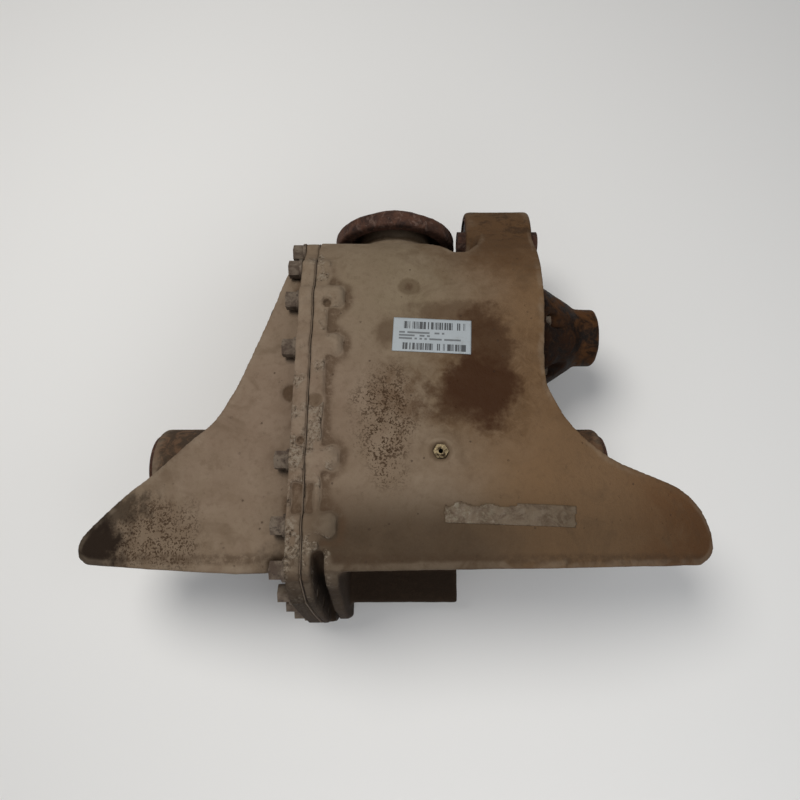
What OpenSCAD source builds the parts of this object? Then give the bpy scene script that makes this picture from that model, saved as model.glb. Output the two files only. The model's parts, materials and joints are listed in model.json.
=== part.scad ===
/* [Final drive] */
// Teeth on the crown wheel
crown_teeth = 41; // [41:2:45]
// Teeth on the drive pinion
pinion_teeth = 11; // [11:1:11]
// Pitch radius of the crown wheel at its heel
crown_pitch_r = 80; // [78:1:80]
// Length of the crown wheel teeth along the pitch cone
crown_face = 26; // [22:1:26]
// Spiral angle of the crown wheel teeth, degrees
spiral_angle = 35; // [25:1:35]
/* [Differential] */
// Teeth on each side gear
side_teeth = 16; // [16:2:16]
// Teeth on each planet gear
planet_teeth = 10; // [10:2:10]
// Pitch radius of a side gear at its heel
side_pitch_r = 26; // [25:0.5:26]
// Radius of the output spline bore in each side gear
spline_r = 13.5; // [12:0.5:13.5]
// Outer radius of the differential case
case_r = 46; // [45:0.5:46]
/* [Input] */
// Distance from the axle axis to the input flange's mating face
flange_face_y = 136; // [134:1:138]
// Outer radius of the input flange's damper ring
ring_r = 70; // [68:1:71]
// Radius of the circle of holes in the input flange
flange_hole_circle_r = 38; // [37:1:39]
// Radius of each hole in the input flange
flange_hole_r = 5.1; // [4.5:0.1:5.5]
/* [Casing] */
// Wall thickness of the castings
wall = 9; // [8:0.5:10]
// Radius of the casing round the crown wheel
drum_r = 95; // [94:1:96]
// Place of the joint between cover and housing along the axle
joint_x = -80; // [-81:1:-79]
// Thickness of each half of the joint flange
flange_t = 14; // [13:1:15]
// Depth from the axle axis down to the casing's feet
foot_depth = 105; // [104:1:108]
/* [Mounting eyes] */
// Outer radius of the front mounting eye
front_eye_r = 36; // [35:0.5:37]
// Outer radius of each rear mounting eye
rear_eye_r = 40; // [39:0.5:41]
// Radius of the bolt hole through each bush
bush_bore_r = 6.5; // [6:0.25:7]
/* [Hidden] */
$fn = 48;

// Gap kept between pieces that move past each other
gap = 0.3;

// ---------- Directions ----------
// A 2D shape drawn in (Y, Z), swept along X
module along_x(x0, x1) translate([x0, 0, 0]) rotate([90, 0, 90]) linear_extrude(x1 - x0) children();
// A 2D shape drawn in (X, Z), swept along Y
module along_y(y0, y1) translate([0, y1, 0]) rotate([90, 0, 0]) linear_extrude(y1 - y0) children();
// A body of revolution about X or Y, drawn in (radius, distance along the axis)
module turned_x() rotate([0, 90, 0]) rotate_extrude($fn = 96) children();
module turned_y() rotate([-90, 0, 0]) rotate_extrude($fn = 96) children();
module rod_x(x0, x1, r, fn = 48) translate([x0, 0, 0]) rotate([0, 90, 0]) cylinder(x1 - x0, r = r, $fn = fn);
module rod_y(y0, y1, r, fn = 48) translate([0, y0, 0]) rotate([-90, 0, 0]) cylinder(y1 - y0, r = r, $fn = fn);
module tube_x(x0, x1, r_out, r_in) difference() {
  rod_x(x0, x1, r_out);
  rod_x(x0 - 1, x1 + 1, r_in);
}
module tube_y(y0, y1, r_out, r_in) difference() {
  rod_y(y0, y1, r_out);
  rod_y(y0 - 1, y1 + 1, r_in);
}

// ---------- Bevel gears ----------
// A bevel gear's axis is +Z here and its cone's apex is the origin; its teeth open towards +Z.
// Angle round the axis covered by a spherical involute, from its base cone to cone angle g
function involute(base, g) =
  g <= base ? 0 : acos(cos(g) / cos(base)) / sin(base) - acos(tan(base) / tan(g));
// Half the angle that a tooth covers at cone angle g
function half_tooth(g, pitch, base, half) = half + involute(base, pitch) - involute(base, g);
// One tooth's outline on the unit sphere as [cone angle, angle round the axis]
function tooth(centre, pitch, base, half, cones) = concat(
  [for (g = cones) [g, centre - half_tooth(g, pitch, base, half)]],
  [for (i = [len(cones) - 1:-1:0]) [cones[i], centre + half_tooth(cones[i], pitch, base, half)]]);
function on_sphere(r, g, a) = [r * sin(g) * cos(a), r * sin(g) * sin(a), r * cos(g)];
// Turn of the section at cone distance r, for a log spiral of the given angle
function spiral_turn(r, r_mid, angle, pitch) = tan(angle) * ln(r / r_mid) * 180 / PI / sin(pitch);
// pitch: pitch cone angle; up, down: tooth height above and below the pitch cone as angles
// half: half the tooth's angle at the pitch cone; spin: hand and size of the spiral
// The teeth end on spheres r0 and r1, and smooth cones close the body towards two points on the axis
module bevel_teeth(teeth, pitch, up, down, half, pressure, r0, r1, spans, spin, apex_in, apex_out) {
  base = asin(sin(pitch) * cos(pressure));
  low = pitch - down;
  high = pitch + up;
  start = max(low, base + 0.01);
  cones = low < base ? [low, start, start + (high - start) / 2, high] : [low, low + (high - low) / 2, high];
  outline = [for (t = [0:teeth - 1]) each tooth(t * 360 / teeth, pitch, base, half, cones)];
  count = len(outline);
  dists = concat([r0], [for (k = [0:spans]) r0 * pow(r1 / r0, k / spans)], [r1]);
  rings = [for (k = [0:spans + 2]) let (r = dists[k], closing = k == 0 || k == spans + 2)
    [for (p = outline) on_sphere(r, closing ? low - 0.6 : p[0],
      p[1] + spiral_turn(r, sqrt(r0 * r1), spin, pitch))]];
  points = concat([for (ring = rings) each ring], [[0, 0, apex_in], [0, 0, apex_out]]);
  inner_tip = count * (spans + 3);
  sides = [for (k = [0:spans + 1]) for (i = [0:count - 1]) let (j = (i + 1) % count, a = k * count, b = a + count)
    each [[a + i, b + i, b + j], [a + i, b + j, a + j]]];
  caps = [for (i = [0:count - 1]) let (j = (i + 1) % count, b = (spans + 2) * count)
    each [[inner_tip, i, j], [inner_tip + 1, b + j, b + i]]];
  polyhedron(points, concat(sides, caps));
}

// Final drive: pitch cones, cone distances and tooth heights
crown_cone = atan(crown_teeth / pinion_teeth);
pinion_cone = 90 - crown_cone;
crown_dist = crown_pitch_r / sin(crown_cone);
crown_dist_in = crown_dist - crown_face;
crown_module = 2 * crown_pitch_r / crown_teeth;
crown_up = atan(0.42 * crown_module / crown_dist);
crown_down = atan(1.38 * crown_module / crown_dist);
pinion_up = atan(1.18 * crown_module / crown_dist);
pinion_down = atan(0.62 * crown_module / crown_dist);
// Share of the pitch that a pinion tooth fills, and the play between the flanks in millimetres
pinion_share = 0.56;
play = 0.5;
play_angle = play / 2 / crown_pitch_r * 180 / PI;
crown_half = 180 / crown_teeth * (1 - pinion_share) - play_angle / 2;
pinion_half = 180 / pinion_teeth * pinion_share - play_angle / 2 * crown_teeth / pinion_teeth;
crown_back_x = -44;
crown_bore_r = 46;

// Differential: the same for its straight bevel gears
side_cone = atan(side_teeth / planet_teeth);
planet_cone = 90 - side_cone;
side_dist = side_pitch_r / sin(side_cone);
side_dist_in = side_dist - 9.5;
side_module = 2 * side_pitch_r / side_teeth;
side_up = atan(0.6 * side_module / side_dist);
planet_up = atan(0.7 * side_module / side_dist);
side_down = atan(1.0 * side_module / side_dist);
planet_down = atan(0.9 * side_module / side_dist);
side_play_angle = 0.8 / 2 / side_pitch_r * 180 / PI;
side_half = 90 / side_teeth - side_play_angle / 2;
planet_half = 90 / planet_teeth - side_play_angle / 2 * side_teeth / planet_teeth;
side_back = 25.5;
side_hub_end = 44;
side_hub_r = 18;
planet_back_r = 33.5;
washer_t = 1.2;
case_sphere_r = planet_back_r + gap + washer_t;
case_flat = side_back + gap + washer_t;
pin_r = 8;

// Places along the pinion
head_back_y = 81.5;
inner_bearing = [92, 18, 17.5, 36];   // middle, width, bore radius, cup radius
outer_bearing = [111, 14, 15, 31];
carrier_bearing = [106, 20, 22.5, 38];
carrier_bearing_right_x = 95;
stem_r = 14;
thread_r = 11;
seal_y = 118;
nose_end_y = 124;
nut_y = 128.5;

// ---------- Gears ----------
module crown_wheel() color("dimgray") rotate([0, -90, 0]) difference() {
  union() {
    // Tooth 0 stands at +Y: the apex side faces the pinion
    rotate([0, 0, 90]) bevel_teeth(crown_teeth, crown_cone, crown_up, crown_down, crown_half, 20,
      crown_dist_in, crown_dist, 4, -spiral_angle, 21, 32);
    rotate_extrude($fn = 96) polygon([[crown_bore_r - 1, 21], [54.5, 21], [crown_pitch_r - 3, 28],
      [crown_pitch_r - 3, -crown_back_x], [crown_bore_r - 1, -crown_back_x]]);
  }
  translate([0, 0, -1]) cylinder(60, r = crown_bore_r, $fn = 96);
  for (i = [0:9]) rotate([0, 0, 36 * i]) translate([57, 0, 30]) cylinder(20, r = 4.5);
}

module drive_pinion() color("dimgray") {
  rotate([-90, 0, 0]) difference() {
    union() {
      bevel_teeth(pinion_teeth, pinion_cone, pinion_up, pinion_down,
        pinion_half, 20, crown_dist_in, crown_dist, 4, spiral_angle, 54.5, 80.6);
      translate([0, 0, 77]) cylinder(head_back_y - 77, r = 18.5);
      translate([0, 0, 81]) cylinder(20, r = inner_bearing[2]);
      translate([0, 0, 100]) cylinder(18, r = outer_bearing[2]);
      translate([0, 0, 118]) cylinder(nut_y - 118, r = stem_r);
      translate([0, 0, nut_y]) cylinder(6.5, r = thread_r);
    }
    translate([0, 0, nut_y + 2.5]) cylinder(5, r = 2.5);
  }
}

module side_gear() rotate([0, 90, 0]) difference() {
  union() {
    bevel_teeth(side_teeth, side_cone, side_up, side_down, side_half, 24, side_dist_in, side_dist,
      1, 0, 14, 22);
    translate([0, 0, 19]) cylinder(side_back - 19, r = side_pitch_r - 3.6);
    translate([0, 0, 11]) cylinder(side_hub_end - 11, r = 15);
    translate([0, 0, side_back - 0.1]) cylinder(side_hub_end - side_back + 0.1, r = side_hub_r);
  }
  translate([0, 0, 5]) cylinder(50, r = spline_r);
}
// Tooth 0 of each side gear stands at +Y, where a planet's space faces it
module right_side_gear() color("slategray") rotate([90, 0, 0]) side_gear();
module left_side_gear() color("slategray") mirror([1, 0, 0]) rotate([90, 0, 0]) side_gear();

// The planet's back is a dome round the apex, drawn as an arc
planet_back_edge_r = 14.2;
planet_dome = [for (i = [0:6]) let (a = asin(planet_back_edge_r / planet_back_r) * (1 - i / 6))
  planet_back_r * [sin(a), cos(a)]];
module planet_gear() difference() {
  union() {
    rotate([0, 0, 180 / planet_teeth]) bevel_teeth(planet_teeth, planet_cone, planet_up, planet_down,
      planet_half, 24, side_dist_in, side_dist, 1, 0, 17, 30);
    rotate_extrude($fn = 96) polygon(concat([[0, 27.3], [planet_back_edge_r, 27.3]], planet_dome));
  }
  cylinder(50, r = pin_r + gap);
}
module planet_gear_a() color("slategray") rotate([-90, 0, 0]) planet_gear();
module planet_gear_b() color("slategray") rotate([90, 0, 0]) planet_gear();

// ---------- Taper roller bearings ----------
// Drawn along +Z about the origin, the large end at +Z. b = [place, width, bore radius, cup radius]
race_slope = 12;
function roller_r(b) = 0.27 * (b[3] - b[2]);
function roller_len(b) = 0.6 * b[1];
function pitch_r(b) = (b[2] + b[3]) / 2;
// Where the cone's rib starts, clear of the tilted rollers' large ends
function rib_z(b) = cos(race_slope) * roller_len(b) / 2 + sin(race_slope) * roller_r(b) + 0.3;
function race(b, side, z) = pitch_r(b) + z * tan(race_slope) + side * (roller_r(b) + 0.2) / cos(race_slope);
module bearing_cup(b) color("silver") rotate_extrude($fn = 96) polygon([
  [b[3], -b[1] / 2 + 1], [b[3], b[1] / 2], [race(b, 1, b[1] / 2), b[1] / 2],
  [race(b, 1, -b[1] / 2 + 1), -b[1] / 2 + 1]]);
module bearing_cone(b) color("silver") rotate_extrude($fn = 96) polygon([
  [b[2], -b[1] / 2], [race(b, -1, -b[1] / 2), -b[1] / 2], [race(b, -1, rib_z(b)), rib_z(b)],
  [race(b, -1, b[1] / 2) + 2.5, rib_z(b)], [race(b, -1, b[1] / 2) + 2.5, b[1] / 2 - 0.5],
  [b[2], b[1] / 2 - 0.5]]);
module each_roller(b, count) for (i = [0:count - 1]) rotate([0, 0, i * 360 / count])
  translate([pitch_r(b), 0, 0]) rotate([0, race_slope, 0]) children();
module bearing_rollers(b, count) color("silver") {
  each_roller(b, count) cylinder(roller_len(b), r = roller_r(b), center = true, $fn = 24);
  half = roller_len(b) / 2 + 1.2;
  difference() {
    rotate_extrude($fn = 96) polygon([for (p = [[-0.6, -half], [0.6, -half], [0.6, half], [-0.6, half]])
      [pitch_r(b) + p[1] * tan(race_slope) + p[0], p[1]]]);
    each_roller(b, count) cylinder(roller_len(b) + 0.4, r = roller_r(b) + 0.1, center = true, $fn = 24);
  }
}
// The pinion's pair stand large ends outwards, and so do the carrier pair
module at_inner() translate([0, inner_bearing[0], 0]) rotate([90, 0, 0]) children();
module at_outer() translate([0, outer_bearing[0], 0]) rotate([-90, 0, 0]) children();
module at_left() translate([-carrier_bearing[0], 0, 0]) rotate([0, -90, 0]) children();
module at_right() translate([carrier_bearing_right_x, 0, 0]) rotate([0, 90, 0]) children();
module pinion_inner_cup() at_inner() bearing_cup(inner_bearing);
module pinion_inner_cone() at_inner() bearing_cone(inner_bearing);
module pinion_inner_rollers() at_inner() bearing_rollers(inner_bearing, 13);
module pinion_outer_cup() at_outer() bearing_cup(outer_bearing);
module pinion_outer_cone() at_outer() bearing_cone(outer_bearing);
module pinion_outer_rollers() at_outer() bearing_rollers(outer_bearing, 13);
module left_carrier_cup() at_left() bearing_cup(carrier_bearing);
module left_carrier_cone() at_left() bearing_cone(carrier_bearing);
module left_carrier_rollers() at_left() bearing_rollers(carrier_bearing, 18);
module right_carrier_cup() at_right() bearing_cup(carrier_bearing);
module right_carrier_cone() at_right() bearing_cone(carrier_bearing);
module right_carrier_rollers() at_right() bearing_rollers(carrier_bearing, 18);

// ---------- Differential case and its pieces ----------
left_seat_x = -carrier_bearing[0];
right_seat_x = carrier_bearing_right_x;
seat_half = carrier_bearing[1] / 2;
seat_r = carrier_bearing[2];
module differential_case() color("gray") difference() {
  turned_x() polygon([
    [0, left_seat_x - seat_half - 2], [seat_r, left_seat_x - seat_half - 2], [seat_r, left_seat_x + seat_half],
    [26, left_seat_x + seat_half], [30, -60], [34, -56], [66, -56], [66, crown_back_x], [case_r, crown_back_x],
    [case_r, 30], [38, 40], [28, 62], [26, right_seat_x - seat_half], [seat_r, right_seat_x - seat_half],
    [seat_r, right_seat_x + seat_half + 2], [0, right_seat_x + seat_half + 2]]);
  rod_x(-case_flat, case_flat, 31);
  intersection() {
    sphere(case_sphere_r, $fn = 96);
    rod_x(-case_flat, case_flat, 60);
  }
  rod_x(-140, 140, side_hub_r + gap);
  rod_y(-80, 80, pin_r);
  // Windows that the gears go in through
  translate([-19, -18, -60]) cube([38, 36, 120]);
  for (i = [0:9]) rotate([36 * i + 18, 0, 0]) translate([-60, 57, 0]) rod_x(0, 20, 4.7);
  translate([0, 37, 0]) rod_x(-58, 14, 2);
}
module cross_pin() color("silver") difference() {
  rod_y(-44, 44, pin_r);
  translate([-20, 37, 0]) rod_x(0, 40, 2);
}
module cross_pin_lock() color("dimgray") translate([-20, 37, 0]) rod_x(0, 34, 2, 24);
module crown_wheel_bolts() color("dimgray") for (i = [0:9]) rotate([36 * i + 18, 0, 0]) translate([0, 57, 0]) {
  rod_x(-62, -56, 8, 6);
  rod_x(-57, -32, 4.45, 24);
}
module side_thrust_washers() color("goldenrod") for (m = [0, 1]) mirror([m, 0, 0])
  tube_x(case_flat - washer_t, case_flat, 27, side_hub_r + gap);
module planet_thrust_washers() color("goldenrod") for (m = [0, 1]) mirror([0, m, 0]) intersection() {
  difference() {
    sphere(case_sphere_r, $fn = 96);
    sphere(case_sphere_r - washer_t, $fn = 96);
    rod_y(0, 60, pin_r);
  }
  rod_y(20, 60, 13);
}
module left_carrier_shim() color("silver")
  tube_x(left_seat_x - seat_half - 1.5, left_seat_x - seat_half, carrier_bearing[3], 33);
module right_carrier_shim() color("silver")
  tube_x(right_seat_x + seat_half, right_seat_x + seat_half + 1.5, carrier_bearing[3], 33);

// ---------- Pinion's other pieces and the input flange ----------
module pinion_shim() color("silver") tube_y(head_back_y, inner_bearing[0] - inner_bearing[1] / 2 + 0.5, 23, 17.5);
module crush_spacer() color("silver") tube_y(inner_bearing[0] + inner_bearing[1] / 2,
  outer_bearing[0] - outer_bearing[1] / 2, 18.5, outer_bearing[2] + 0.2);
module pinion_oil_seal() color("black") turned_y() polygon([
  [37, seal_y + 0.5], [37, nose_end_y], [33, nose_end_y], [33, nose_end_y - 3], [18.4, nose_end_y - 2.5],
  [18.4, nose_end_y - 4.5], [31, seal_y + 0.5]]);
module pinion_nut() color("dimgray") difference() {
  rod_y(nut_y, nut_y + 6.5, 17, 6);
  rod_y(nut_y - 1, nut_y + 8, thread_r);
}
web_y = nose_end_y + 1.2;
module input_flange() color("saddlebrown") difference() {
  turned_y() polygon([
    [0, 118], [18, 118], [18, web_y], [46, web_y], [50, 121], [56, 118], [56, 107],
    [58, 105], [ring_r - 2, 105], [ring_r, 107], [ring_r, 120], [ring_r - 2, 122], [62, 122.5], [57, 126],
    [50, 132], [48, flange_face_y], [0, flange_face_y]]);
  rod_y(nut_y, flange_face_y + 1, 25);
  rod_y(100, 140, stem_r);
  for (i = [0:5]) rotate([0, 60 * i + 30, 0]) translate([flange_hole_circle_r, 0, 0]) rod_y(110, 140, flange_hole_r);
}

// ---------- Outlines of the castings ----------
// A smooth line through points, n steps from each to the next
function smooth(p, n) = let (last = len(p) - 1) [for (i = [0:last - 1], k = [0:n - 1]) let (
  a = p[max(i - 1, 0)], b = p[i], c = p[i + 1], d = p[min(i + 2, last)], t = k / n)
  0.5 * (2 * b + (c - a) * t + (2 * a - 5 * b + 4 * c - d) * t * t + (3 * b - a - 3 * c + d) * t * t * t)];
// A path moved sideways by d, to the right of its direction
function shifted(p, d) = let (n = len(p)) [for (i = [0:n - 1]) let (
  v = p[(i + 1) % n] - p[(i + n - 1) % n], u = v / norm(v)) p[i] + d * [u[1], -u[0]]];
// Seen from above, clockwise from the front left: the bell and its two wings
right_edge = [[150, 112], [151, 60], [150, 0], [144, -70], [150, -98], [168, -126], [203, -153], [238, -166],
  [276, -179], [300, -200], [309, -224], [306, -241], [292, -251]];
left_edge = [[-292, -251], [-303, -243], [-300, -224], [-258, -187], [-233, -170], [-196, -140], [-173, -121],
  [-158, -95], [-147, -68], [-126, -5], [-113, 40], [-106, 60]];
// The front edge: straight across the joint and nose, then hollow where it meets the front arm
skin_front = [[-106, 60], [-97, 84], [34, 84], [50, 78], [62, 67], [77, 68], [90, 84], [94, 112]];
chamber_front = [[-106, 60], [-97, 112], [40, 112], [52, 84], [62, 67], [77, 68], [90, 84], [94, 112]];
function bell(d, front = skin_front) = shifted(concat(smooth(right_edge, 3),
  [[292, -251], [100, -253], [-54, -255], [-140, -258]], smooth(left_edge, 3), front), d);
// Seen from the front: the height of the top skin across the wings
arch = [[-320, 54], [-300, 61], [-250, 77], [-180, 99], [-110, 114], [0, 118], [100, 118], [170, 107],
  [250, 82], [300, 62], [325, 50]];
// Seen from the right: the top line, falling towards the front round the crown wheel
top_line = [[-320, 117], [-255, 118], [-180, 116], [-100, 111], [-40, 104], [10, 98], [45, 91], [72, 78], [96, 56],
  [113, 50]];
module bell_block(d, low, high_drop, top_drop = 0) intersection() {
  translate([0, 0, -130]) linear_extrude(280) polygon(bell(d));
  along_y(-330, 130) polygon(concat([[-330, low]], [for (p = smooth(arch, 3)) p - [0, high_drop]], [[330, low]]));
  along_x(-330, 330) polygon(concat([[-330, low]],
    [for (p = smooth(top_line, 3)) p - [0, high_drop + top_drop]], [[113, low]]));
}
// The chamber's side view: round the crown wheel, then straight back; d moves its walls inwards
chamber_back = -252;
floor_z = -97;
function chamber(d) = concat(
  [for (a = [-90:6:48]) (drum_r - d) * [cos(a), sin(a)]],
  [for (p = smooth([[45, 88], [0, 99], [-100, 111], [-200, 116], [-255, 118]], 3))
    if (p[0] > chamber_back + d + 3) p - [0, d]],
  [[chamber_back + d, 117 - d], [chamber_back + d, floor_z + d + 20], [chamber_back + d + 20, floor_z + d]]);
module chamber_block(x0, x1, d, inset = 0) intersection() {
  along_x(x0, x1) polygon(chamber(d + inset));
  translate([0, 0, -130]) linear_extrude(280) polygon(bell(d, chamber_front));
}

// ---------- Joint between cover and housing ----------
// Bolts round the joint as [Y, Z]: along the top, down the rear bracket, then along the floor and the drum
top_bolts = [[6, 93], [-46, 99], [-157, 108], [-216, 111]];
rear_bolts = [[-254, 106], [-276, 62], [-289, 14], [-301, -38], [-306, -86]];
edge_bolts = [[-258, -93], [-196, -93], [-132, -93], [-68, -93], [-4, -93], [60, -77], [89, -36], [94, 13],
  [73, 64], [44, 85]];
joint_bolts = concat(top_bolts, rear_bolts, edge_bolts);
dowels = [[-228, -93], [93, -12]];
joint_in = 11;
lug_r = 10;
top_boss_r = 15;
top_boss_x = -50;
head_t = 14;
module joint_ring(x0, x1) difference() {
  union() {
    along_x(x0, x1) polygon(chamber(-5));
    along_x(x0, x1) polygon([[-252, 119], [-262, 119], [-284, 80], [-300, 20], [-314, -40], [-318, -foot_depth],
      [-240, -foot_depth], [-240, 100]]);
    for (p = concat(rear_bolts, edge_bolts)) translate([0, p[0], p[1]]) rod_x(x0, x1, lug_r);
    for (p = top_bolts) translate([0, p[0], p[1]]) rod_x(x0, x1, top_boss_r);
  }
  along_x(x0 - 1, x1 + 1) polygon(chamber(joint_in));
  translate([-400, -400, -foot_depth - 50]) cube([800, 800, 50]);
}
module bolt_holes(r) for (p = joint_bolts) translate([0, p[0], p[1]]) rod_x(-140, joint_x + 9, r, 24);
module dowel_holes() for (p = dowels) translate([0, p[0], p[1]]) rod_x(joint_x - 10, joint_x + 10, 4, 24);
gasket_t = 0.8;

// ---------- Castings ----------
cover_x = -136;
end_x = 150;
skirt_low = 18;
left_eye = [-242, -152, 20];
right_eye = [150, -152, 20];
rear_eye_len = 62;
front_eye = [79, 108, 20];
front_eye_len = 73;
rear_sleeve_r = 33;
front_sleeve_r = 29;
// The canopy over one wing, open underneath
module wing(x0, x1, top_drop = 0) intersection() {
  difference() {
    bell_block(0, skirt_low, 0, top_drop);
    bell_block(wall, -200, wall, top_drop);
  }
  translate([x0, -330, -200]) cube([x1 - x0, 500, 400]);
}
module ribs(xs) intersection() {
  for (x = xs) translate([x - 4, -205, 30]) cube([8, 110, 90]);
  bell_block(1, -100, 1);
}
// A round bar along X with rounded ends
module eye_barrel(x0, len, r) translate([x0, 0, 0]) turned_x() polygon([
  [0, 0], [r - 4, 0], [r - 1.2, 1.2], [r, 4], [r, len - 4], [r - 1.2, len - 1.2], [r - 4, len], [0, len]]);
// A mounting eye with its web back to the chamber wall
module rear_eye(at, web_x0, web_x1) {
  translate([0, at[1], at[2]]) {
    eye_barrel(at[0], rear_eye_len, rear_eye_r);
    translate([web_x0, -34, -32]) cube([web_x1 - web_x0, 66, 70]);
  }
}
module bush_bore(at, len, r) translate([0, at[1], at[2]]) rod_x(at[0] - 1, at[0] + len + 1, r);
// Room in the wing's skirt for the end of a bush
module skirt_relief(at, x0, x1, r) translate([0, at[1], at[2]]) rod_x(x0, x1, r);
module foot(x, y, h) translate([x, y, -foot_depth]) cylinder(h, r = 13);
// Plugs: one in the right wall for filling, one in the floor for draining, drawn outwards along +Z
plug_r = 9;
boss_up = 2;
module at_fill() translate([end_x + boss_up, -104, -34]) rotate([0, 90, 0]) children();
module at_drain() translate([100, -120, floor_z - boss_up]) rotate([180, 0, 0]) children();
module plug_seats() {
  at_fill() children();
  at_drain() children();
}
breather_at = [43, -150];

module main_housing() color("tan") difference() {
  union() {
    difference() {
      union() {
        chamber_block(joint_x + gasket_t, end_x, 0);
        wing(joint_x + gasket_t, 330);
        turned_y() polygon([[0, 60], [55, 60], [55, 88], [50, 97], [44, 101], [42, 104], [42, nose_end_y],
          [0, nose_end_y]]);
        along_x(94, end_x) polygon([[0, 95], [50, 88], [80, 71], [96, 60], [112, 54], [135, 25], [110, -14],
          [60, -50], [0, -60]]);
        translate([-60, -293, -98]) cube([129, 50, 58]);
      }
      chamber_block(joint_x - 1, end_x - wall - 3, wall);
      translate([-50, -284, -89]) cube([109, 60, 40]);
    }
    rear_bracket();
    joint_ring(joint_x + gasket_t, joint_x + flange_t);
    for (p = top_bolts) translate([0, p[0], p[1]]) {
      rod_x(joint_x + flange_t - 2, top_boss_x - 4, top_boss_r, 48);
      rod_x(top_boss_x - 5, top_boss_x, top_boss_r - 2, 48);
    }
    rod_y(82.5, 100, 47);
    rod_x(116, 152, 60);
    rear_eye(right_eye, 140, 152);
    ribs([185]);
    translate([0, front_eye[1], front_eye[2]]) eye_barrel(front_eye[0], front_eye_len, front_eye_r);
    foot(105, 30, 20);
    foot(105, -205, 14);
    plug_seats() translate([0, 0, -16]) cylinder(16, r = 16);
    translate([breather_at[0], breather_at[1], 98]) cylinder(18, r = 13);
  }
  // Bearing seats and the seal seat in the nose
  rod_y(50, 100, inner_bearing[3], 96);
  rod_y(90, 110, 26);
  rod_y(105, 118.6, outer_bearing[3], 96);
  rod_y(seal_y + 0.5, 130, 37, 96);
  rod_x(100, 160, 46, 96);
  bush_bore(right_eye + [2, 0, 0], rear_eye_len, rear_sleeve_r);
  skirt_relief(right_eye, 212, 222, rear_sleeve_r + 1);
  skirt_relief(right_eye, 212, 250, rear_inner_r + 4);
  bush_bore(front_eye, front_eye_len, front_sleeve_r);
  for (p = joint_bolts) translate([0, p[0], p[1]]) rod_x(joint_x - 1, joint_x + 9, 4, 24);
  rear_pocket();
  for (a = carrier_bolt_angles) rotate([a, 0, 0]) translate([0, carrier_bolt_r, 0]) rod_x(128, 170, 4, 24);
  dowel_holes();
  plug_seats() translate([0, 0, -25]) cylinder(30, r = plug_r, $fn = 32);
  translate([breather_at[0], breather_at[1], 80]) cylinder(50, r = 5);
  translate([breather_at[0], breather_at[1], 113]) cylinder(50, r = 9);
}

// The rear bracket beside the joint, with an open pocket between it and the flange
rib_x = [-60, -49];
module rear_bracket() {
  along_x(joint_x + gasket_t, rib_x[1]) polygon([[-228, 112], [-255, 114], [-262, 102], [-252, 40], [-236, 40],
    [-228, 60]]);
  along_x(rib_x[0], rib_x[1]) polygon([[-243, 100], [-258, 112], [-268, 96], [-296, 20], [-310, -40],
    [-314, -foot_depth], [-243, -foot_depth]]);
}
module rear_pocket() along_x(joint_x + 9, rib_x[0])
  polygon([[-236, 130], [-238, 100], [-250, 60], [-268, -20], [-300, -60], [-340, -60], [-340, 130]]);
cover_inset = 16;
module side_cover() color("tan") difference() {
  union() {
    difference() {
      union() {
        chamber_block(cover_x, joint_x, 0, cover_inset);
        wing(-330, joint_x, cover_inset);
      }
      chamber_block(cover_x + wall, joint_x + 1, wall, cover_inset);
    }
    joint_ring(joint_x - flange_t, joint_x);
    turned_x() polygon([[0, -138], [34, -138], [46, -120], [48, -94], [0, -94]]);
    rear_eye(left_eye, -180, -128);
    ribs([-212]);
    foot(-126, -130, 30);
  }
  // Room for the bolt heads where the skin comes up beside them
  for (p = joint_bolts) translate([0, p[0], p[1]])
    rod_x(joint_x - flange_t - head_t - 3, joint_x - flange_t, head_r + 1, 32);
  rod_x(-117.5, -80, 38, 96);
  rod_x(-150, -80, 33, 96);
  bush_bore(left_eye, rear_eye_len - 1, rear_sleeve_r);
  skirt_relief(left_eye, -252, -242, rear_sleeve_r + 1);
  bolt_holes(4.5);
  dowel_holes();
}
module left_output_seal() color("black") tube_x(-138, -131, 33, 16.5);

module cover_gasket() color("darkslategray") difference() {
  joint_ring(joint_x, joint_x + gasket_t);
  bolt_holes(4.6);
  dowel_holes();
}
head_r = 10.5;
module cover_bolts() color("dimgray") for (p = joint_bolts) translate([0, p[0], p[1]]) {
  rod_x(joint_x - flange_t - head_t, joint_x - flange_t - 3, 9.2, 6);
  rod_x(joint_x - flange_t - 3, joint_x - flange_t, head_r, 32);
  rod_x(joint_x - flange_t, joint_x + 8, 3.95, 24);
}
module dowel_pins() color("silver") for (p = dowels) translate([0, p[0], p[1]])
  rod_x(joint_x - 9, joint_x + 9, 3.95, 24);

carrier_bolt_r = 52.5;
carrier_bolt_angles = [30:60:330];
module right_output_carrier() color("saddlebrown") difference() {
  turned_x() polygon([[0, 85], [46, 85], [46, 152], [61, 152], [61, 161], [57, 168], [40, 194], [33, 203],
    [32.5, 207], [32.5, 224], [30.5, 226], [0, 226]]);
  rod_x(80, 106.5, carrier_bearing[3], 96);
  rod_x(80, 190, 31, 96);
  rod_x(180, 240, 26, 96);
  for (a = carrier_bolt_angles) rotate([a, 0, 0]) translate([0, carrier_bolt_r, 0]) {
    rod_x(140, 200, 4.5, 24);
    rod_x(160, 220, 8, 32);
  }
}
module carrier_bolts() color("dimgray") for (a = carrier_bolt_angles) rotate([a, 0, 0])
  translate([0, carrier_bolt_r, 0]) {
    rod_x(160, 166, 6.5, 6);
    rod_x(130, 160.5, 3.95, 24);
  }
module right_output_seal() color("black") tube_x(217, 224, 26, 16.5);

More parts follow.
